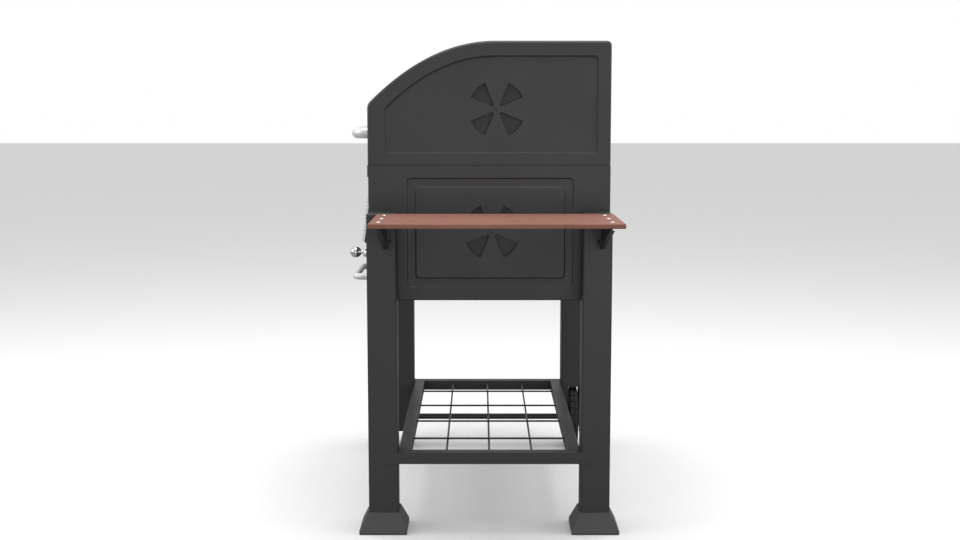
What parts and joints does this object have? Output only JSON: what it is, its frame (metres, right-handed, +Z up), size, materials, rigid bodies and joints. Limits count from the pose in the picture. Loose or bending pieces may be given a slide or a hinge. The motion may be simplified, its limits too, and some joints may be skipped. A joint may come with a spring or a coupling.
{
  "type": "charcoal barbecue trolley",
  "caption": "Charcoal barbecue trolley with hinged lid, stoking door, ash drawer, crank-lifted charcoal pan, wooden side shelf, wire rack, wheels and flared feet.",
  "frame": {"origin": "on the floor, under the middle of the trolley's bounding box", "axes": "+X towards the side shelf, -Y towards the front with the stoking door and drawer, +Z up"},
  "size_m": [1.093, 0.609, 1.0744],
  "materials": {
    "powder_coat": "satin charcoal powder coat",
    "foot_coat": "satin charcoal, matched to the legs",
    "silver_coat": "satin silver",
    "stainless": "brushed",
    "chrome": "polished",
    "zinc": "zinc plated",
    "enamel": "satin black enamel",
    "wood": "red-brown stained and oiled",
    "tyre": "moulded tread",
    "hub_plastic": "moulded"
  },
  "bodies": {
    "stand": {"axle": "powder_coat", "leg_shelf_side_front": "powder_coat", "leg_shelf_side_back": "powder_coat", "leg_wheel_side_front": "powder_coat", "leg_wheel_side_back": "powder_coat", "rack_bar_shelf_side": "powder_coat", "rack_bar_wheel_side": "powder_coat", "rack_rail_front": "powder_coat", "rack_rail_back": "powder_coat", "rack_grille": "powder_coat", "firebox_side_right": "powder_coat", "firebox_side_left": "powder_coat", "firebox_front": "powder_coat", "firebox_back": "powder_coat", "firebox_floor": "powder_coat", "shelf_bracket_front": "powder_coat", "shelf_bracket_back": "powder_coat", "foot_front": "foot_coat", "foot_back": "foot_coat", "firebox_hinge_leaf_right": "zinc", "firebox_hinge_leaf_left": "zinc", "door_hinge_rod": "zinc", "drawer_runner_right": "zinc", "drawer_runner_left": "zinc", "pan_guide_right": "zinc", "pan_guide_left": "zinc", "shaft_bracket": "zinc", "crank_bush": "zinc", "grate_ledge_front": "zinc", "grate_ledge_back": "zinc", "shelf_plank_inner": "wood", "shelf_plank_middle": "wood", "shelf_plank_outer": "wood"},
    "lid": {"lid_shell": "powder_coat", "lid_side_right": "powder_coat", "lid_side_left": "powder_coat", "lid_handle": "silver_coat", "thermometer": "stainless", "lid_hinge_leaf_right": "zinc", "lid_hinge_leaf_left": "zinc"},
    "lid_vent_right": {"lid_damper_right": "enamel"},
    "lid_vent_left": {"lid_damper_left": "enamel"},
    "firebox_vent_right": {"firebox_damper_right": "enamel"},
    "firebox_vent_left": {"firebox_damper_left": "enamel"},
    "stoking_door": {"door_panel": "powder_coat", "door_ribbed_plate": "stainless"},
    "drawer": {"ash_drawer": "powder_coat", "drawer_handle": "silver_coat"},
    "pan": {"charcoal_pan": "enamel", "lift_rack": "zinc"},
    "crank": {"crank_shaft": "zinc", "crank_arm": "chrome", "crank_knob": "chrome"},
    "wheel_front": {"tyre_front": "tyre", "hub_front": "hub_plastic"},
    "wheel_back": {"tyre_back": "tyre", "hub_back": "hub_plastic"},
    "grate_right": {"cooking_grate_right": "enamel"},
    "grate_left": {"cooking_grate_left": "enamel"}
  },
  "joints": [
    {"name": "lid_hinge", "type": "hinge", "parent": "stand", "child": "lid", "pos_m": [-0.1005, 0.2901, 0.8075], "axis": [-1, 0, 0], "range_deg": [0, 95]},
    {"name": "lid_vent_right_turn", "type": "hinge", "parent": "lid", "child": "lid_vent_right", "pos_m": [0.2235, 0.0355, 0.927], "axis": [1, 0, 0], "range_deg": [0, 32]},
    {"name": "lid_vent_left_turn", "type": "hinge", "parent": "lid", "child": "lid_vent_left", "pos_m": [-0.4245, 0.0355, 0.927], "axis": [1, 0, 0], "range_deg": [0, 32]},
    {"name": "firebox_vent_right_turn", "type": "hinge", "parent": "stand", "child": "firebox_vent_right", "pos_m": [0.2275, 0.0255, 0.66], "axis": [1, 0, 0], "range_deg": [0, 32]},
    {"name": "firebox_vent_left_turn", "type": "hinge", "parent": "stand", "child": "firebox_vent_left", "pos_m": [-0.4285, 0.0255, 0.66], "axis": [1, 0, 0], "range_deg": [0, 32]},
    {"name": "stoking_door_hinge", "type": "hinge", "parent": "stand", "child": "stoking_door", "pos_m": [-0.1005, -0.2505, 0.614], "axis": [1, 0, 0], "range_deg": [0, 80]},
    {"name": "drawer_slide", "type": "slide", "parent": "stand", "child": "drawer", "axis": [0, -1, 0], "range_m": [0, 0.38]},
    {"name": "pan_lift", "type": "slide", "parent": "stand", "child": "pan", "axis": [0, 0, 1], "range_m": [0, 0.07]},
    {"name": "crank_turn", "type": "hinge", "parent": "stand", "child": "crank", "pos_m": [0.1971, -0.1805, 0.608], "axis": [0, -1, 0], "range_deg": [0, 279]},
    {"name": "wheel_front_spin", "type": "hinge", "parent": "stand", "child": "wheel_front", "pos_m": [-0.464, -0.272, 0.0825], "axis": [0, 1, 0], "continuous": true},
    {"name": "wheel_back_spin", "type": "hinge", "parent": "stand", "child": "wheel_back", "pos_m": [-0.464, 0.2555, 0.0825], "axis": [0, 1, 0], "continuous": true},
    {"name": "grate_right_lift", "type": "slide", "parent": "stand", "child": "grate_right", "axis": [0, 0, 1], "range_m": [0, 0.06]},
    {"name": "grate_left_lift", "type": "slide", "parent": "stand", "child": "grate_left", "axis": [0, 0, 1], "range_m": [0, 0.06]}
  ],
  "couplings": [
    {"joint": "crank_turn", "follows": "pan_lift", "rad_per_m": 69.444}
  ]
}
